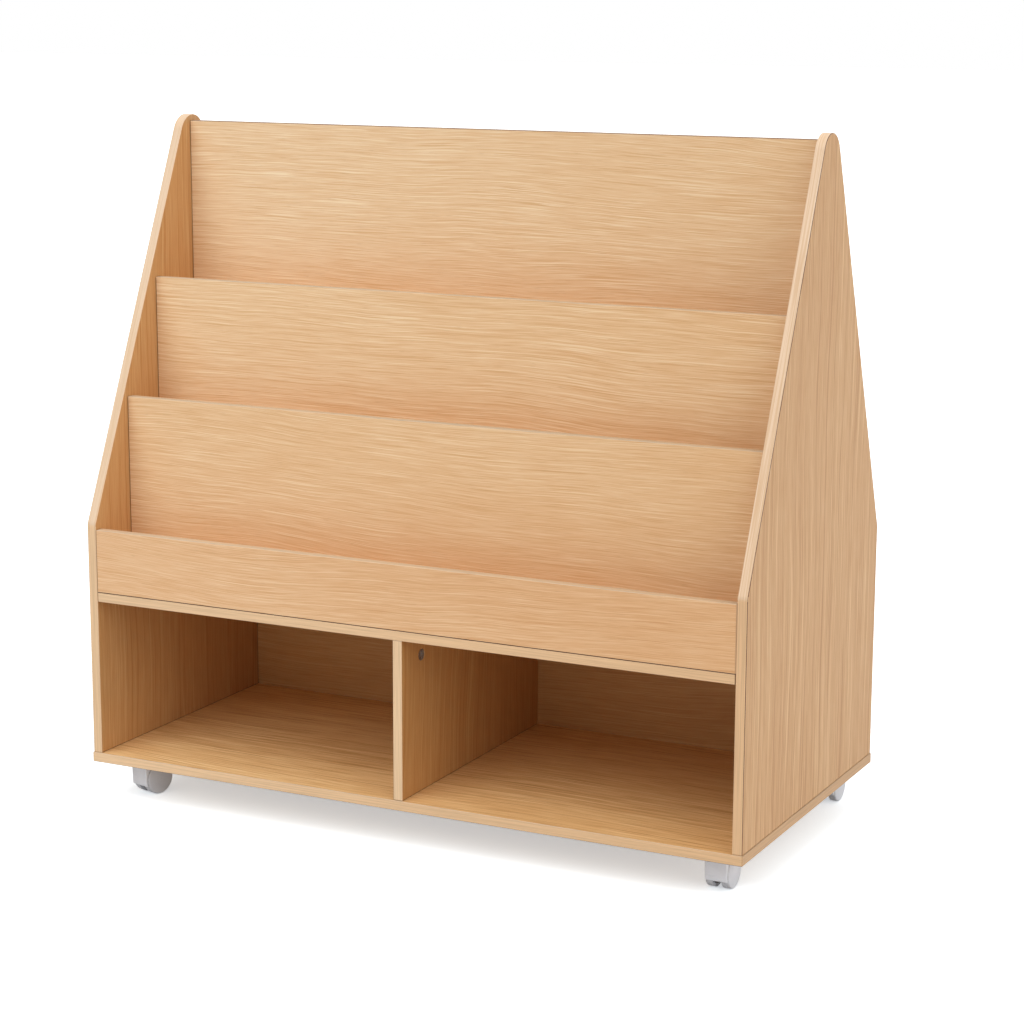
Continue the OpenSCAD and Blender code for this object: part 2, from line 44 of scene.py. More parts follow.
# Light. At level 1 a lamp alone lights a surface that faces it fully, so that its colour renders as
# it is written. Each lamp has the direction that it comes from and its spread in degrees.
WORLD_LEVEL = 0.31
Lamp = namedtuple("Lamp", "name level direction spread")
LAMPS = [
    Lamp("key", 0.475, (-0.45, -1.0, 1.15), 50.0),
    Lamp("side", 0.42, (1.0, -0.3, 0.6), 60.0),
    Lamp("top", 0.265, (0.0, -0.1, 1.0), 60.0),
    Lamp("rear", 0.15, (0.3, 1.0, 1.0), 60.0),
]

# Floor. Its own colour lights the object from below. The camera sees a paler one, so that the
# object's shadow fades as fast as in the photograph, and the lift is a glow that whitens it further.
FLOOR_REACH = 30.0
FLOOR_COLOUR = (0.545, 0.555, 0.570)
FLOOR_SEEN = (0.930, 0.980, 1.000)
FLOOR_LIFT = (0.455, 0.467, 0.482)
FLOOR_MOTTLE = (0.990, 0.990, 0.990)
FLOOR_CELLS = 3.0
FLOOR_SEED = 5.0
WHITE = (1.0, 1.0, 1.0)

# Wood. All colours are linear. A tone has three shades of the veneer, the colour of its edge band
# and the colour of its upward edge, which is painted light and shade: a paler sheen on sloped edges
# and a darker shade on the top edges of level panels.
Tone = namedtuple("Tone", "pale middle deep band edge")
PALE_OAK = (0.870, 0.640, 0.405)
MID_OAK = (0.780, 0.510, 0.285)
DEEP_OAK = (0.690, 0.405, 0.195)
BRIGHTEST_OAK = 0.95
BAND_OAK = (0.830, 0.560, 0.325)
BAND_TAN = (0.760, 0.480, 0.260)
BAND_HONEY = (0.850, 0.590, 0.350)
# Paler band: painted sheen on the uprights' sloped edges, and the colour of rubbed arrises
BAND_PALE = (0.740, 0.545, 0.375)
# Upward edges of level panels, darker than their bands: painted shade
EDGE_STONE = (0.475, 0.365, 0.255)
EDGE_GREY = (0.430, 0.345, 0.245)
EDGE_DUSKY = (0.290, 0.160, 0.090)
# Painted shade along the arrises that face away from the light and in the grooves between boards
ARRIS_SHADE_BROWN = (0.075, 0.024, 0.006)
# Painted shade in the seam where a board ends at the next one
SEAM_SHADE_BROWN = (0.160, 0.065, 0.022)
PORE_BROWN = (0.450, 0.240, 0.110)
BEECH_DARK = (0.620, 0.400, 0.210)
BEECH_PALE = (0.720, 0.490, 0.280)
BEECH_FLECK = (0.420, 0.240, 0.110)

# A level board's oak carries painted light towards the unit's left end and painted shade that deepens
# towards the unit's right end, from the first tint to the second, and both of the board's ends are deeper
# again.
LEFT_LIGHT_TINT = (1.03, 1.04, 1.05)
RIGHT_SHADE_TINT = (0.925, 0.875, 0.815)
LIGHT_FALLOFF_SPAN = (-0.35, 0.44)
END_TINT = (0.83, 0.78, 0.71)

# Plastic and metal
NYLON_HOOD = (0.930, 0.930, 0.965)
NYLON_WHEEL = (0.800, 0.800, 0.835)
NYLON_WASHER = (0.700, 0.700, 0.680)
GRIME = (0.300, 0.280, 0.255)
ZINC_DARK = (0.450, 0.420, 0.390)
STEEL_BRIGHT = (0.620, 0.610, 0.590)
STEEL_PLATED = (0.560, 0.570, 0.580)

# Spans of a noise that runs from 0 to 1: nearly all, most and the core of its values
NEARLY_ALL = (0.25, 0.75)
MOST = (0.30, 0.70)
CORE = (0.35, 0.65)


class Tree:
    """The nodes of one material. Each method adds a node and returns its result."""

    BEVEL_SAMPLES = 4
    EDGE_TURN = (0.90, 0.995)

    def __init__(self, name):
        self.material = bpy.data.materials.new(name)
        self.material.use_nodes = True
        self.nodes = self.material.node_tree.nodes
        self.links = self.material.node_tree.links
        self.nodes.clear()

    def put(self, socket, value):
        if isinstance(value, bpy.types.NodeSocket):
            self.links.new(value, socket)
        else:
            socket.default_value = value

    def math(self, operation, *values):
        node = self.nodes.new("ShaderNodeMath")
        node.operation = operation
        for socket, value in zip(node.inputs, values):
            self.put(socket, value)
        return node.outputs[0]

    def add(self, a, b):
        return self.math("ADD", a, b)

    def subtract(self, a, b):
        return self.math("SUBTRACT", a, b)

    def times(self, a, b):
        return self.math("MULTIPLY", a, b)

    def vector_math(self, operation, a, b=(0.0, 0.0, 0.0)):
        node = self.nodes.new("ShaderNodeVectorMath")
        node.operation = operation
        self.put(node.inputs[0], a)
        self.put(node.inputs[1], b)
        scalar = operation in ("LENGTH", "DOT_PRODUCT")
        return node.outputs["Value" if scalar else "Vector"]

    def vector(self, x, y, z):
        node = self.nodes.new("ShaderNodeCombineXYZ")
        for socket, value in zip(node.inputs, (x, y, z)):
            self.put(socket, value)
        return node.outputs[0]

    def split(self, vector):
        node = self.nodes.new("ShaderNodeSeparateXYZ")
        self.put(node.inputs[0], vector)
        return dict(zip("XYZ", node.outputs))

    def coordinates(self, output="Object"):
        return self.nodes.new("ShaderNodeTexCoord").outputs[output]

    def ramp(self, value, low, high, to_low=0.0, to_high=1.0, smooth=True):
        """Value between low and high, turned into to_low to to_high, and flat outside them."""
        node = self.nodes.new("ShaderNodeMapRange")
        node.interpolation_type = "SMOOTHSTEP" if smooth else "LINEAR"
        for socket, number in zip(node.inputs, (value, low, high, to_low, to_high)):
            self.put(socket, number)
        return node.outputs[0]

    def noise(self, vector, detail=2.0, roughness=0.5, distortion=0.0):
        """Noise of 0 to 1 that changes about once in each unit of the vector."""
        node = self.nodes.new("ShaderNodeTexNoise")
        self.put(node.inputs["Vector"], vector)
        node.inputs["Scale"].default_value = 1.0
        node.inputs["Detail"].default_value = detail
        node.inputs["Roughness"].default_value = roughness
        node.inputs["Distortion"].default_value = distortion
        return node.outputs["Fac"]

    def line_noise(self, value, detail, roughness):
        """Noise that changes along one number only, such as the count of growth rings."""
        node = self.nodes.new("ShaderNodeTexNoise")
        node.noise_dimensions = "1D"
        self.put(node.inputs["W"], value)
        node.inputs["Scale"].default_value = 1.0
        node.inputs["Detail"].default_value = detail
        node.inputs["Roughness"].default_value = roughness
        return node.outputs["Fac"]

    def wave(self, value, size):
        """Noise of about -size/2 to size/2 instead of 0 to 1."""
        return self.times(self.subtract(value, 0.5), size)

    def mix(self, share, a, b, blend="MIX"):
        node = self.nodes.new("ShaderNodeMix")
        node.data_type = "RGBA"
        node.blend_type = blend
        self.put(node.inputs["Factor"], share)
        colours = [socket for socket in node.inputs if socket.type == "RGBA"]
        for socket, colour in zip(colours, (a, b)):
            self.put(socket, colour if isinstance(colour, bpy.types.NodeSocket) else (*colour, 1.0))
        return next(socket for socket in node.outputs if socket.type == "RGBA")

    def tint(self, colour, tint, share=1.0):
        """The colour times the tint, as far as the share says."""
        return self.mix(share, colour, tint, blend="MULTIPLY")

    def bump(self, height, depth, strength):
        node = self.nodes.new("ShaderNodeBump")
        node.inputs["Strength"].default_value = strength
        node.inputs["Distance"].default_value = depth
        self.put(node.inputs["Height"], height)
        return node.outputs[0]

    def edge(self, radius):
        """1 along edges, as wide as the radius, and 0 on open faces."""
        bevel = self.nodes.new("ShaderNodeBevel")
        bevel.samples = self.BEVEL_SAMPLES
        bevel.inputs["Radius"].default_value = radius
        normal = self.nodes.new("ShaderNodeNewGeometry").outputs["Normal"]
        turned = self.vector_math("DOT_PRODUCT", bevel.outputs[0], normal)
        return self.ramp(turned, *self.EDGE_TURN, 1.0, 0.0)

    def finish(self, colour, roughness, normal, metallic=0.0, specular=0.5):
        shader = self.nodes.new("ShaderNodeBsdfPrincipled")
        output = self.nodes.new("ShaderNodeOutputMaterial")
        self.put(shader.inputs["Base Color"], colour)
        self.put(shader.inputs["Roughness"], roughness)
        self.put(shader.inputs["Normal"], normal)
        shader.inputs["Metallic"].default_value = metallic
        shader.inputs["Specular IOR Level"].default_value = specular
        self.links.new(shader.outputs["BSDF"], output.inputs["Surface"])
        return self.material


def tinted(colour, tint):
    """The colour times the tint, and never brighter than oak can be."""
    return tuple(min(BRIGHTEST_OAK, channel * share) for channel, share in zip(colour, tint))


def toned(tint, band=BAND_OAK, edge=EDGE_STONE):
    """Oak of another tint, with the colours of its edge band and of its upward edge."""
    return Tone(tinted(PALE_OAK, tint), tinted(MID_OAK, tint), tinted(DEEP_OAK, tint), band, edge)


# How each board's veneer is cut. grain, across and through are the board's own directions; heart
# is how far across from the board's middle the growth rings centre, depth how deep below its
# face, lean how fast that depth grows along the grain, ring the spacing of the rings. The arris
# entry lists the ways that the arrises face on which dark shade is painted, tone is the veneer's
# set of colours, and run is how many times in a metre its thin lines begin and end.
Veneer = namedtuple("Veneer", "grain across through heart depth lean ring dark_arris tone run seed")

RIGHTWARD = (1, 0, 0)
LEFTWARD = (-1, 0, 0)
REARWARD = (0, 1, 0)
FORWARD = (0, -1, 0)
UPWARD = (0, 0, 1)
DOWNWARD = (0, 0, -1)
ENDS = [RIGHTWARD, LEFTWARD]

HONEY = toned((1.02, 1.02, 1.00))
FLOORING = toned((1.00, 0.95, 0.75))._replace(pale=(0.920, 0.650, 0.345), deep=(0.560, 0.290, 0.105))
# Left side panel: deeper as the uprights' veneer is, and deeper again as painted shade of the left cubby
AMBER = toned((0.72, 0.58, 0.40), edge=BAND_PALE)
TAWNY = toned((0.78, 0.67, 0.52), band=BAND_TAN, edge=BAND_PALE)._replace(
    pale=(0.725, 0.462, 0.225), deep=(0.495, 0.243, 0.087))
UMBER = toned((0.68, 0.53, 0.33), band=BAND_HONEY)

PANEL = Veneer(
    grain="X", across="Z", through="Y", heart=0.0, depth=0.050, lean=0.050, ring=0.0052,
    dark_arris=ENDS + [REARWARD], tone=HONEY, run=8.0, seed=0.0)
BOARD = Veneer(
    grain="X", across="Y", through="Z", heart=0.0, depth=0.060, lean=0.040, ring=0.0130,
    dark_arris=ENDS + [DOWNWARD], tone=HONEY, run=6.0, seed=0.0)
UPRIGHT = Veneer(
    grain="Z", across="Y", through="X", heart=0.60, depth=0.050, lean=0.100, ring=0.0140,
    dark_arris=[DOWNWARD], tone=AMBER, run=3.0, seed=0.0)

VENEERS = {
    "top_display_panel": PANEL._replace(
        heart=-0.19, lean=0.06, seed=3.1, dark_arris=ENDS + [REARWARD, FORWARD],
        tone=toned((1.06, 1.12, 1.17), edge=EDGE_DUSKY)),
    "middle_display_panel": PANEL._replace(
        heart=0.24, lean=-0.05, seed=11.7, tone=toned((1.04, 1.05, 1.04), edge=EDGE_GREY)),
    "lower_display_panel": PANEL._replace(
        heart=-0.22, lean=0.06, seed=23.9, tone=toned((1.02, 1.01, 0.98), edge=EDGE_GREY)),
    "front_lip": PANEL._replace(
        heart=0.30, ring=0.0042, seed=31.3, dark_arris=[LEFTWARD, REARWARD, DOWNWARD],
        tone=toned((0.98, 0.90, 0.84))),
    # The cubby back's darker tint is painted shade of the cubbies
    "cubby_back_panel": PANEL._replace(heart=0.12, seed=41.2, tone=toned((0.84, 0.76, 0.55))),
    "shelf_board": BOARD._replace(heart=0.20, seed=53.8, dark_arris=ENDS + [UPWARD]),
    "base_board": BOARD._replace(
        heart=-0.38, ring=0.0085, seed=61.4, dark_arris=[DOWNWARD], tone=FLOORING),
    "lower_pocket_floor": BOARD._replace(heart=0.15, seed=67.5),
    "upper_pocket_floor": BOARD._replace(heart=0.15, seed=71.9),
    "left_side_panel": UPRIGHT._replace(dark_arris=[LEFTWARD, DOWNWARD], seed=83.3),
    "right_side_panel": UPRIGHT._replace(dark_arris=[RIGHTWARD, DOWNWARD], tone=TAWNY, seed=97.6),
    "centre_divider": UPRIGHT._replace(
        heart=0.45, dark_arris=[LEFTWARD, DOWNWARD], tone=UMBER, seed=103.1),
}

# Noise of the grain: how many times in a metre it changes along the grain and across it, an offset
# to the board's seed, and the noise's detail and roughness. Across counts changes in each growth
# ring where the noise follows the rings, and a thin line's along counts in runs of its board.
Grain = namedtuple("Grain", "along across offset detail roughness", defaults=(2.0, 0.5))
DRIFT = Grain(1.7, 2.8, 0)
WAVER = Grain(9.0, 20.0, 5)
CLOUD = Grain(2.0, 7.0, 13)
FADING = Grain(4.0, 11.0, 37)
STREAK = Grain(3.0, 1.1, 3, detail=3.0)
PALE_LINE = Grain(1.0, 3.8, 61, roughness=0.55)
DARK_LINE = Grain(1.0, 5.0, 67, roughness=0.55)

# Hair-thin noise, without an offset: changes in a metre along the fibres and crosswise to them
Fibre = namedtuple("Fibre", "along crosswise detail roughness")
FIBRE = Fibre(22.0, 900.0, 2.0, 0.6)
PORE = Fibre(60.0, 1900.0, 1.0, 0.5)
BAND_LINE = Fibre(9.0, 700.0, 2.0, 0.6)

# Noise that changes along the grain alone: changes in a metre, and the offset to the board's seed
Lengthwise = namedtuple("Lengthwise", "along offset")
SWELL = Lengthwise(2.0, 9)
RUBBING = Lengthwise(35.0, 51)

# How far the grain drifts, wavers and swells, in metres
DRIFT_REACH = 0.055
WAVER_REACH = 0.0040
SWELL_REACH = 0.020

# Growth rings: how uneven they are and how often that changes in a ring, where in a ring its dark
# line is fullest, and how much of the tone comes from soft shades instead of the line
RING_UNEVENNESS = 0.8
RING_CHANGES = 1.3
RING_DETAIL = 2.5
RING_ROUGHNESS = 0.6
RING_PEAK = 0.22
SOFT_SHARE = 0.55

# How much each kind of grain shows, how little of the figure is left where it fades, and the
# shade at which the veneer is at its palest or deepest
FIGURE_CONTRAST = 0.22
PALE_LINE_CONTRAST = 0.75
DARK_LINE_CONTRAST = 0.75
FIBRE_CONTRAST = 1.25
STREAK_CONTRAST = 0.25
CLOUD_CONTRAST = 0.30
FADED = 0.35
FULL_SHADE = 0.45

# Where the noise of a thin line and of a pore turns into one, the dark wood that pores keep to,
# and how much of a pore's colour shows
LINE_RISE = (0.54, 0.70)
PORE_RISE = (0.63, 0.72)
DARK_WOOD = (0.60, 0.35)
PORE_SHARE = 0.30

# Parts of the surface's direction that tell a board's faces, bands and arrises apart
FACE_TURN = (0.80, 0.90)
ARRIS_RISE = (0.30, 0.45)
ARRIS_FALL = (0.95, 0.86)
DARK_TURN = (0.2, 0.5)
END_TURN = (0.5, 0.8)
UPWARD_TURN = (0.05, 0.20)

# Height of the painted shade in the seam at the end of a board, in metres, and how much of it shows
SEAM_HEIGHT = 0.0016
SEAM_SHARE = 0.75

# Edge band: how much its lines and its clouds show, the shades at which its dark streaks are
# fullest and end, how dark they are and how much of them shows
BAND_LINE_CONTRAST = 1.6
BAND_CLOUD_CONTRAST = 0.3
BAND_STREAK_SPAN = (-0.30, 0.25)
BAND_STREAK_TINT = (0.78, 0.78, 0.78)
BAND_STREAK_SHARE = 0.8

# Arrises: where they are rubbed, how much of that shows, and how much of the painted shade on an arris is
# left there
RUBBED_RISE = (0.30, 0.60)
RUBBED_SHARE = 0.35
RUBBED_DARK = 0.85

# Lacquered surface of the oak: roughness from pale to dark fibres and in pores, share of each kind
# of grain in the relief, and the relief's depth in metres
OAK_ROUGHNESS = (0.50, 0.42)
OAK_PORE_ROUGHNESS = 0.15
OAK_SPECULAR = 0.35
FIBRE_RELIEF = 0.5
FIGURE_RELIEF = 0.5
PORE_RELIEF = 0.8
OAK_RELIEF_DEPTH = 0.00012
OAK_RELIEF_STRENGTH = 0.35


def grain_noise(tree, veneer, kind, along, across):
    """0 to 1: one kind of variation in a board's grain."""
    seed = veneer.seed + kind.offset
    place = tree.vector(tree.times(along, kind.along), tree.times(across, kind.across), seed)
    return tree.noise(place, kind.detail, kind.roughness)


def fibre_noise(tree, kind, along, across, through):
    """0 to 1: hair-thin variation that runs along the grain."""
    crosswise = (tree.times(across, kind.crosswise), tree.times(through, kind.crosswise))
    return tree.noise(tree.vector(tree.times(along, kind.along), *crosswise), kind.detail, kind.roughness)


def lengthwise_noise(tree, veneer, kind, along):
    """0 to 1: variation along the grain that is the same all across the board."""
    return tree.noise(tree.vector(tree.times(along, kind.along), veneer.seed + kind.offset, 0.0))


def board_directions(tree, veneer):
    """Object coordinates along the grain, across it and through the board."""
    place = tree.split(tree.coordinates())
    return place[veneer.grain], place[veneer.across], place[veneer.through]


def wander(tree, veneer, along, across):
    """The across coordinate, pushed to and fro by a slow drift and a quick waver of the grain."""
    drift = tree.wave(grain_noise(tree, veneer, DRIFT, along, across), DRIFT_REACH)
    waver = tree.wave(grain_noise(tree, veneer, WAVER, along, across), WAVER_REACH)
    return tree.add(across, tree.add(drift, waver))


def ring_count(tree, veneer, along, wandering, middle):
    """Number of the growth ring that a point of the veneer lies on, with its fraction."""
    offset = tree.subtract(wandering, middle + veneer.heart)
    swell = tree.wave(lengthwise_noise(tree, veneer, SWELL, along), SWELL_REACH)
    depth = tree.add(tree.times(along, veneer.lean), swell)
    depth = tree.add(depth, veneer.depth)
    radius = tree.math("SQRT", tree.add(tree.times(offset, offset), tree.times(depth, depth)))
    return tree.math("DIVIDE", radius, veneer.ring)


def ring_tone(tree, rings, seed):
    """0 to 1: the dark early wood and the pale late wood of irregular growth rings."""
    changes = tree.add(tree.times(rings, RING_CHANGES), seed)
    uneven = tree.line_noise(changes, RING_DETAIL, RING_ROUGHNESS)
    fraction = tree.math("FRACT", tree.add(rings, tree.wave(uneven, RING_UNEVENNESS)))
    rise = tree.ramp(fraction, 0.0, RING_PEAK)
    fall = tree.ramp(fraction, RING_PEAK, 1.0, 1.0, 0.0)
    pale = tree.subtract(1.0, tree.times(rise, fall))
    soft = tree.ramp(uneven, *NEARLY_ALL)
    return tree.add(tree.times(soft, SOFT_SHARE), tree.times(pale, 1.0 - SOFT_SHARE))


def thin_lines(tree, veneer, kind, along, rings):
    """0 to 1: thin lines that follow the growth rings, and fade in and out along the grain."""
    runs = tree.times(along, veneer.run)
    return tree.ramp(grain_noise(tree, veneer, kind, runs, rings), *LINE_RISE)


def slanting(tree, part):
    """1 where this part of the surface's direction is that of an arris, 0 on a band or a face."""
    return tree.times(tree.ramp(part, *ARRIS_RISE), tree.ramp(part, *ARRIS_FALL))


def face_masks(tree, veneer):
    """Edge band, arris and the arrises with painted shade of a board, and how far upwards its surface
    faces.
    """
    normal = tree.coordinates("Normal")
    parts = tree.split(normal)
    through = tree.math("ABSOLUTE", parts[veneer.through])
    band = tree.ramp(through, *FACE_TURN, 1.0, 0.0)
    if veneer.grain == "Z":
        sideways = slanting(tree, tree.math("ABSOLUTE", parts["X"]))
        downwards = slanting(tree, tree.times(parts["Z"], -1.0))
        chamfer = tree.math("MAXIMUM", sideways, downwards)
    else:
        sides = [tree.math("ABSOLUTE", parts[axis]) for axis in "XYZ"]
        largest = tree.math("MAXIMUM", tree.math("MAXIMUM", sides[0], sides[1]), sides[2])
        chamfer = tree.ramp(largest, *reversed(FACE_TURN))
    dark = 0.0
    for direction in veneer.dark_arris:
        facing = tree.vector_math("DOT_PRODUCT", normal, direction)
        dark = tree.math("MAXIMUM", dark, tree.ramp(facing, *DARK_TURN))
    return band, chamfer, tree.times(chamfer, dark), parts["Z"]


def endwise(tree, veneer):
    """1 on the ends of a board's grain, 0 on its faces and its long edges."""
    part = tree.math("ABSOLUTE", tree.split(tree.coordinates("Normal"))[veneer.grain])
    return tree.ramp(part, *END_TURN)


def seam_shade(tree, veneer, low, high):
    """1 in the thin line of painted shade where a board ends at the next one, 0 elsewhere."""
    index = "XYZ".index(veneer.grain)
    along = tree.split(tree.coordinates())[veneer.grain]
    line = tree.ramp(along, low[index], low[index] + SEAM_HEIGHT, 1.0, 0.0)
    if veneer.grain == "X":
        line = tree.math("MAXIMUM", line, tree.ramp(along, high[index] - SEAM_HEIGHT, high[index]))
    return tree.times(line, tree.subtract(1.0, endwise(tree, veneer)))


def veneer_shade(tree, figure, pale_line, dark_line, fibre, streak, cloud, fading):
    """Below 0 where the veneer is deep, above 0 where it is pale."""
    strength = tree.ramp(fading, *CORE, FADED, 1.0)
    shade = tree.times(tree.subtract(figure, 0.5), tree.times(strength, FIGURE_CONTRAST))
    shade = tree.add(shade, tree.times(pale_line, tree.times(strength, PALE_LINE_CONTRAST)))
    shade = tree.subtract(shade, tree.times(dark_line, DARK_LINE_CONTRAST))
    shade = tree.add(shade, tree.wave(fibre, FIBRE_CONTRAST))
    shade = tree.add(shade, tree.wave(streak, STREAK_CONTRAST))
    return tree.add(shade, tree.wave(cloud, CLOUD_CONTRAST))


# What a veneer's face hands on: its colour, the coordinate along the grain, and the noises that
# the edge band, the roughness and the relief share
Face = namedtuple("Face", "colour along cloud fibre figure pore")


def oak_face(tree, veneer, middle):
    """Colour of the veneer's face: growth rings, thin lines, streaks, fibres and pores."""
    along, across, through = board_directions(tree, veneer)
    wandering = wander(tree, veneer, along, across)
    rings = ring_count(tree, veneer, along, wandering, middle)
    figure = ring_tone(tree, rings, veneer.seed)
    pale_line = thin_lines(tree, veneer, PALE_LINE, along, rings)
    dark_line = thin_lines(tree, veneer, DARK_LINE, along, rings)
    fibre = fibre_noise(tree, FIBRE, along, wandering, through)
    streak = grain_noise(tree, veneer, STREAK, along, rings)
    cloud = grain_noise(tree, veneer, CLOUD, along, across)
    fading = grain_noise(tree, veneer, FADING, along, across)

    tone = veneer.tone
    shade = veneer_shade(tree, figure, pale_line, dark_line, fibre, streak, cloud, fading)
    colour = tree.mix(tree.ramp(shade, -FULL_SHADE, 0.0, smooth=False), tone.deep, tone.middle)
    colour = tree.mix(tree.ramp(shade, 0.0, FULL_SHADE, smooth=False), colour, tone.pale)

    dash = tree.ramp(fibre_noise(tree, PORE, along, wandering, through), *PORE_RISE)
    pore = tree.times(dash, tree.ramp(figure, *DARK_WOOD))
    colour = tree.mix(tree.times(pore, PORE_SHARE), colour, PORE_BROWN)
    return Face(colour, along, cloud, fibre, figure, pore)


def band_lines(tree, veneer):
    """Fine lines of the edge band, which run along the edge whichever way it slopes."""
    along, across, through = board_directions(tree, veneer)
    place = tree.vector(
        tree.times(along, BAND_LINE.along), tree.times(across, BAND_LINE.along),
        tree.times(through, BAND_LINE.crosswise))
    return tree.noise(place, BAND_LINE.detail, BAND_LINE.roughness)


def band_colour(tree, veneer, cloud, upward):
    """Edge band with dark streaks, in another colour where it faces upwards, which is painted light and
    shade.
    """
    tone = veneer.tone
    # Upward-facing band: painted sheen on sloped edges, painted shade on top edges
    band_with_painted_light = tree.mix(tree.ramp(upward, *UPWARD_TURN), tone.band, tone.edge)
    streaked = tinted(tone.band, BAND_STREAK_TINT)
    shade = tree.wave(band_lines(tree, veneer), BAND_LINE_CONTRAST)
    shade = tree.add(shade, tree.wave(cloud, BAND_CLOUD_CONTRAST))
    return tree.mix(tree.ramp(shade, *BAND_STREAK_SPAN, BAND_STREAK_SHARE, 0.0), band_with_painted_light, streaked)


def oak_finish(tree, face, colour):
    """Satin lacquer over open grain."""
    roughness = tree.ramp(face.fibre, *MOST, *OAK_ROUGHNESS, smooth=False)
    roughness = tree.add(roughness, tree.times(face.pore, OAK_PORE_ROUGHNESS))
    height = tree.add(tree.times(face.fibre, FIBRE_RELIEF), tree.times(face.figure, FIGURE_RELIEF))
    height = tree.subtract(height, tree.times(face.pore, PORE_RELIEF))
    relief = tree.bump(height, OAK_RELIEF_DEPTH, OAK_RELIEF_STRENGTH)
    return tree.finish(colour, roughness, relief, specular=OAK_SPECULAR)


def oak(node):
    """Satin-lacquered light oak veneer with an edge band, cut as the board's entry says."""
    veneer = VENEERS[node]
    low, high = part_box(node)
    axis = "XYZ".index(veneer.across)
    tree = Tree("oak_" + node)
    face = oak_face(tree, veneer, (low[axis] + high[axis]) / 2)
    band, chamfer, dark_arris, upward = face_masks(tree, veneer)

    colour = tree.mix(band, face.colour, band_colour(tree, veneer, face.cloud, upward))
    if veneer.grain == "X":
        # Painted light towards the unit's left end and painted shade towards its right end
        painted_falloff = tree.mix(tree.ramp(face.along, *LIGHT_FALLOFF_SPAN, smooth=False), LEFT_LIGHT_TINT, RIGHT_SHADE_TINT)
        colour = tree.tint(colour, painted_falloff)
        colour = tree.tint(colour, END_TINT, endwise(tree, veneer))

    rubbed = tree.ramp(lengthwise_noise(tree, veneer, RUBBING, face.along), *RUBBED_RISE)
    colour = tree.mix(tree.times(chamfer, tree.times(rubbed, RUBBED_SHARE)), colour, BAND_PALE)
    # Painted shade on the arrises listed for the board, a little less of it where they are rubbed
    left_dark = tree.ramp(rubbed, 0.0, 1.0, 1.0, RUBBED_DARK)
    colour = tree.mix(tree.times(dark_arris, left_dark), colour, ARRIS_SHADE_BROWN)
    # Painted shade in the seam where the board meets the next one
    colour = tree.mix(tree.times(seam_shade(tree, veneer, low, high), SEAM_SHARE), colour, SEAM_SHADE_BROWN)
    return oak_finish(tree, face, colour)


# Scratches: changes in a metre along them, where the noise turns into one, and how bent they are
SCRATCH_LENGTHS = 35.0
SCRATCH_RISE = (0.66, 0.72)
SCRATCH_DISTORTION = 0.6

# Offsets to a material's seed, which keep its fine grain and its dirt apart from its clouds
GRAIN_OFFSET = 3.0
DIRT_OFFSET = 7.0

# How a worn surface looks: shades of its darker clouds and of its paler scuffs and rubbed edges,
# and how much of the scuffs and of the rubbed edges shows
Wear = namedtuple("Wear", "darker paler scuffed rubbed")
NYLON_WEAR = Wear(0.93, 1.12, 0.35, 0.5)
METAL_WEAR = Wear(0.75, 1.3, 0.4, 0.6)

# Nylon: clouds, grains and scratches in a metre, width of the rubbed edges and depth of the relief
# in metres, and how much the rubbed edges show
NYLON_CLOUDS = 45.0
NYLON_GRAINS = 2200.0
NYLON_SCRATCHES = 700.0
NYLON_EDGE = 0.0006
NYLON_RUBBED = (0.3, 0.8)
NYLON_ROUGHNESS = (0.36, 0.46)
NYLON_SCUFF_ROUGHNESS = 0.12
NYLON_SPECULAR = 0.45
NYLON_RELIEF_DEPTH = 0.00004
NYLON_RELIEF_STRENGTH = 0.4

# Wheel's tread: how far inside the rim it begins and is full, in metres, and the dirt on it
TREAD_INSET = (0.0012, 0.0004)
TREAD_ROUGHNESS = 0.15
DIRT_CELLS = 260.0
DIRT_SHARE = (0.08, 0.32)

# Metal: the same as for nylon, and how far its clouds and its grains change the roughness
METAL_CLOUDS = 120.0
METAL_GRAINS = 1800.0
METAL_SCRATCHES = 1500.0
METAL_EDGE = 0.0004
METAL_CLOUD_ROUGHNESS = 0.06
METAL_GRAIN_ROUGHNESS = 0.1
METAL_RELIEF_DEPTH = 0.00003
METAL_RELIEF_STRENGTH = 0.3

# Beech: cells of its flecks and clouds with their seeds, where a fleck begins, how much of it
# shows, and roughness
BEECH_FLECKS = 900.0
BEECH_FLECK_SEED = 17.0
BEECH_CLOUDS = 60.0
BEECH_CLOUD_SEED = 19.0
BEECH_FLECK_RISE = (0.62, 0.72)
BEECH_FLECK_SHARE = 0.4
BEECH_ROUGHNESS = (0.6, 0.75)
BEECH_RELIEF_DEPTH = 0.0001
BEECH_RELIEF_STRENGTH = 0.3


def speckle(tree, scale, seed, detail=2.0):
    """Even noise in all directions, with so many cells to the metre."""
    place = tree.vector_math("MULTIPLY", tree.coordinates(), (scale, scale, scale))
    return tree.noise(tree.vector_math("ADD", place, (seed, seed, seed)), detail)


def scratches(tree, seed, lines):
    """Thin scratches, longer along X than they are wide, so many to the metre."""
    place = tree.split(tree.coordinates())
    where = tree.vector(
        tree.times(place["X"], SCRATCH_LENGTHS), tree.times(place["Y"], lines),
        tree.add(tree.times(place["Z"], lines), seed))
    return tree.ramp(tree.noise(where, detail=1.0, distortion=SCRATCH_DISTORTION), *SCRATCH_RISE)


def weathered(tree, colour, wear, cloud, scuff, rubbed):
    """The colour with darker clouds, and paler in its scuffs and along its rubbed edges."""
    darker = tuple(channel * wear.darker for channel in colour)
    paler = tuple(min(1.0, channel * wear.paler) for channel in colour)
    tint = tree.mix(tree.ramp(cloud, *MOST), darker, colour)
    tint = tree.mix(tree.times(scuff, wear.scuffed), tint, paler)
    return tree.mix(tree.times(rubbed, wear.rubbed), tint, paler)


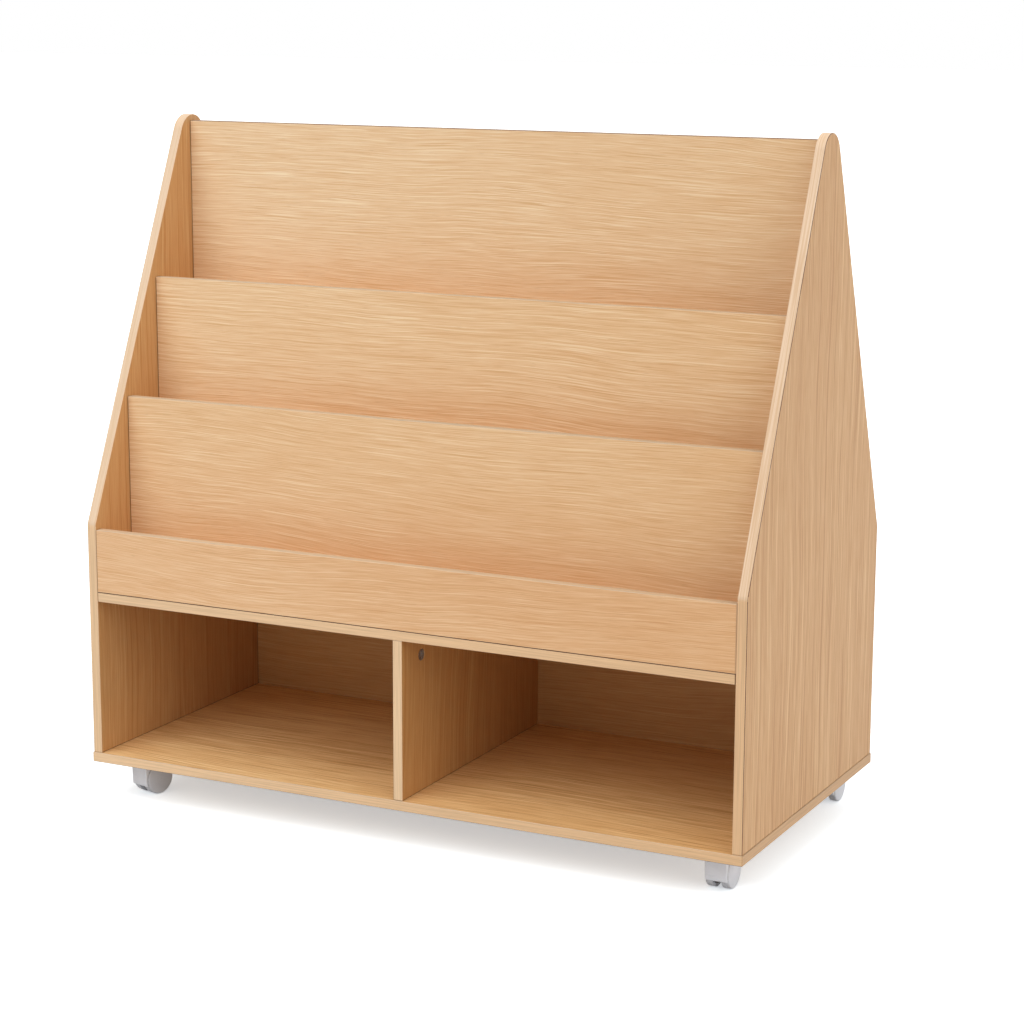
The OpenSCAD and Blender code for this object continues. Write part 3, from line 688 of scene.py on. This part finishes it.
# Where a wheel's tread is: the wheel's centre, the direction of its axle and its radius
Wheel = namedtuple("Wheel", "centre axle radius")


def tread_mask(tree, wheel):
    """1 on a wheel's tread, 0 on its sides."""
    spoke = tree.vector_math("SUBTRACT", tree.coordinates(), wheel.centre)
    reach = tree.vector_math("LENGTH", tree.vector_math("CROSS_PRODUCT", spoke, wheel.axle))
    return tree.ramp(reach, *(wheel.radius - inset for inset in TREAD_INSET))


def nylon(name, colour, seed, wheel=None):
    """Moulded nylon, satin, with faint mottling, scuffs and rubbed edges; a wheel's tread is dulled."""
    tree = Tree(name)
    cloud = speckle(tree, NYLON_CLOUDS, seed)
    grain = speckle(tree, NYLON_GRAINS, seed + GRAIN_OFFSET, detail=1.0)
    scuff = scratches(tree, seed, NYLON_SCRATCHES)
    rubbed = tree.times(tree.edge(NYLON_EDGE), tree.ramp(cloud, *CORE, *NYLON_RUBBED))
    tint = weathered(tree, colour, NYLON_WEAR, cloud, scuff, rubbed)
    roughness = tree.ramp(grain, *MOST, *NYLON_ROUGHNESS)
    roughness = tree.add(roughness, tree.times(scuff, NYLON_SCUFF_ROUGHNESS))
    if wheel is not None:
        tread = tread_mask(tree, wheel)
        dirt = tree.ramp(speckle(tree, DIRT_CELLS, seed + DIRT_OFFSET), *CORE, *DIRT_SHARE)
        tint = tree.mix(tree.times(tread, dirt), tint, GRIME)
        roughness = tree.add(roughness, tree.times(tread, TREAD_ROUGHNESS))
    relief = tree.bump(grain, NYLON_RELIEF_DEPTH, NYLON_RELIEF_STRENGTH)
    return tree.finish(tint, roughness, relief, specular=NYLON_SPECULAR)


def metal(name, colour, seed, rough):
    """Metal with fine scratches, a cloudy surface and bright rubbed edges."""
    tree = Tree(name)
    cloud = speckle(tree, METAL_CLOUDS, seed)
    grain = speckle(tree, METAL_GRAINS, seed + GRAIN_OFFSET)
    scratch = scratches(tree, seed, METAL_SCRATCHES)
    tint = weathered(tree, colour, METAL_WEAR, cloud, scratch, tree.edge(METAL_EDGE))
    smooth, dull = rough - METAL_CLOUD_ROUGHNESS, rough + METAL_CLOUD_ROUGHNESS
    roughness = tree.ramp(cloud, *MOST, smooth, dull)
    roughness = tree.add(roughness, tree.wave(grain, METAL_GRAIN_ROUGHNESS))
    relief = tree.bump(grain, METAL_RELIEF_DEPTH, METAL_RELIEF_STRENGTH)
    return tree.finish(tint, roughness, relief, metallic=1.0)


def dowel_beech(name):
    """Unfinished beech with fine flecks."""
    tree = Tree(name)
    fleck = speckle(tree, BEECH_FLECKS, BEECH_FLECK_SEED)
    cloud = speckle(tree, BEECH_CLOUDS, BEECH_CLOUD_SEED)
    tint = tree.mix(tree.ramp(cloud, *MOST), BEECH_DARK, BEECH_PALE)
    flecked = tree.ramp(fleck, *BEECH_FLECK_RISE, 0.0, BEECH_FLECK_SHARE)
    tint = tree.mix(flecked, tint, BEECH_FLECK)
    roughness = tree.ramp(fleck, *MOST, *BEECH_ROUGHNESS)
    return tree.finish(tint, roughness, tree.bump(fleck, BEECH_RELIEF_DEPTH, BEECH_RELIEF_STRENGTH))


def dress(node, material):
    """Gives a CAD node its finished material."""
    for place in frame["nodes"][node].material_slots:
        place.material = material


def dress_boards():
    for node in VENEERS:
        dress(node, oak(node))


# Seed of each plastic and metal surface, the first one of the wheels, and how rough a metal is
HOOD_SEED = 2.0
WASHER_SEED = 4.0
PLATE_SEED = 6.0
PIN_SEED = 8.0
FIRST_WHEEL_SEED = 10.0
CAM_SEED = 31.0
FASTENER_SEED = 33.0
PLATE_ROUGH = 0.38
PIN_ROUGH = 0.26
CAM_ROUGH = 0.48
FASTENER_ROUGH = 0.30


def dress_casters():
    """One material for each kind of part, by the start of its node's name."""
    hood = nylon("nylon_hood", NYLON_HOOD, HOOD_SEED)
    washer = nylon("nylon_washer", NYLON_WASHER, WASHER_SEED)
    plate = metal("plated_steel", STEEL_PLATED, PLATE_SEED, PLATE_ROUGH)
    pin = metal("turned_steel", STEEL_BRIGHT, PIN_SEED, PIN_ROUGH)
    materials = {
        "caster_hood": hood,
        "caster_washer": washer,
        "caster_plate": plate,
        "caster_kingpin": pin,
        "caster_axle": pin,
    }
    for node in frame["nodes"]:
        for start, material in materials.items():
            if node.startswith(start):
                dress(node, material)


def dress_wheels():
    """Each wheel has its own material, because its tread is found from its own centre and axle."""
    for number, joint in enumerate(frame["joints"]):
        if joint["name"].endswith("_roll"):
            node = "caster_" + joint["child"]
            low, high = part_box(node)
            wheel = Wheel(tuple(joint["pos_m"]), tuple(joint["axis"]), (high[2] - low[2]) / 2)
            dress(node, nylon("nylon_" + joint["child"], NYLON_WHEEL, FIRST_WHEEL_SEED + number, wheel))


def dress_fittings():
    dress("cam_locks", metal("zinc_cam", ZINC_DARK, CAM_SEED, CAM_ROUGH))
    fastener = metal("zinc_plated_fastener", STEEL_BRIGHT, FASTENER_SEED, FASTENER_ROUGH)
    for node in ("cam_bolts", "base_screws", "caster_screws"):
        dress(node, fastener)
    dress("dowels", dowel_beech("beech_dowel"))


def seen_directly(nodes, links):
    """1 for camera, mirror and glass rays, 0 for the rays that light the object."""
    path = nodes.new("ShaderNodeLightPath")
    first = nodes.new("ShaderNodeMath")
    first.operation = "MAXIMUM"
    links.new(path.outputs["Is Camera Ray"], first.inputs[0])
    links.new(path.outputs["Is Glossy Ray"], first.inputs[1])
    second = nodes.new("ShaderNodeMath")
    second.operation = "MAXIMUM"
    links.new(first.outputs[0], second.inputs[0])
    links.new(path.outputs["Is Transmission Ray"], second.inputs[1])
    return second.outputs[0]


def make_world():
    """White where it is seen, and an even soft dome of light on the object."""
    world = bpy.data.worlds.new("studio")
    bpy.context.scene.world = world
    world.use_nodes = True
    nodes, links = world.node_tree.nodes, world.node_tree.links
    nodes.clear()
    dome = nodes.new("ShaderNodeBackground")
    dome.inputs["Strength"].default_value = WORLD_LEVEL
    white = nodes.new("ShaderNodeBackground")
    white.inputs["Strength"].default_value = 1.0
    for background in (dome, white):
        background.inputs["Color"].default_value = (*WHITE, 1.0)
    mix = nodes.new("ShaderNodeMixShader")
    output = nodes.new("ShaderNodeOutputWorld")
    links.new(seen_directly(nodes, links), mix.inputs[0])
    links.new(dome.outputs[0], mix.inputs[1])
    links.new(white.outputs[0], mix.inputs[2])
    links.new(mix.outputs[0], output.inputs["Surface"])


def make_lamps():
    """Large soft sources, far away, so that they light every part of the object evenly."""
    for lamp in LAMPS:
        data = bpy.data.lights.new(lamp.name, "SUN")
        data.energy = lamp.level * math.pi
        data.angle = math.radians(lamp.spread)
        source = bpy.data.objects.new(lamp.name, data)
        source.rotation_euler = Vector(lamp.direction).to_track_quat("Z", "Y").to_euler()
        bpy.context.scene.collection.objects.link(source)


def floor_material():
    """Pale matte floor, lifted to white where it is seen, that keeps the object's shadow."""
    tree = Tree("studio_floor")
    by_camera = tree.nodes.new("ShaderNodeLightPath").outputs["Is Camera Ray"]
    colour = tree.mix(by_camera, FLOOR_COLOUR, FLOOR_SEEN)
    mottle = tree.mix(speckle(tree, FLOOR_CELLS, FLOOR_SEED), FLOOR_MOTTLE, WHITE)
    matte = tree.nodes.new("ShaderNodeBsdfDiffuse")
    tree.put(matte.inputs["Color"], tree.tint(colour, mottle))
    glow = tree.nodes.new("ShaderNodeEmission")
    glow.inputs["Color"].default_value = (*FLOOR_LIFT, 1.0)
    tree.put(glow.inputs["Strength"], seen_directly(tree.nodes, tree.links))
    both = tree.nodes.new("ShaderNodeAddShader")
    output = tree.nodes.new("ShaderNodeOutputMaterial")
    tree.links.new(matte.outputs[0], both.inputs[0])
    tree.links.new(glow.outputs[0], both.inputs[1])
    tree.links.new(both.outputs[0], output.inputs["Surface"])
    return tree.material


def make_floor():
    mesh = bpy.data.meshes.new("floor")
    reach = FLOOR_REACH
    corners = [(-reach, -reach, 0), (reach, -reach, 0), (reach, reach, 0), (-reach, reach, 0)]
    mesh.from_pydata(corners, [], [tuple(range(len(corners)))])
    floor = bpy.data.objects.new("floor", mesh)
    bpy.context.scene.collection.objects.link(floor)
    mesh.materials.append(floor_material())


def make_camera():
    """Camera at the photograph's viewing angle, by yaw, pitch and roll around the aim point."""
    yaw, pitch, roll = (math.radians(a) for a in (CAMERA_YAW, CAMERA_PITCH, CAMERA_ROLL))
    back = Vector((
        math.sin(yaw) * math.cos(pitch),
        -math.cos(yaw) * math.cos(pitch),
        math.sin(pitch)))
    right = (-back).cross(Vector((0, 0, 1))).normalized()
    up = right.cross(-back)
    aim = Vector((0, 0, AIM_HEIGHT)) + right * AIM_RIGHT + up * AIM_UP
    rolled_right = right * math.cos(roll) + up * math.sin(roll)
    rolled_up = up * math.cos(roll) - right * math.sin(roll)
    data = bpy.data.cameras.new("camera")
    data.sensor_width = SENSOR_MM
    data.lens = LENS_MM
    data.clip_end = CAMERA_SIGHT
    camera = bpy.data.objects.new("camera", data)
    bpy.context.scene.collection.objects.link(camera)
    place = camera.matrix_world.copy()
    spot = aim + back * CAMERA_DISTANCE
    for row in range(len(spot)):
        place[row] = (rolled_right[row], rolled_up[row], back[row], spot[row])
    camera.matrix_world = place
    bpy.context.scene.camera = camera


dress_boards()
dress_casters()
dress_wheels()
dress_fittings()
make_world()
make_lamps()
make_floor()
make_camera()
bpy.context.scene.view_settings.view_transform = "Standard"
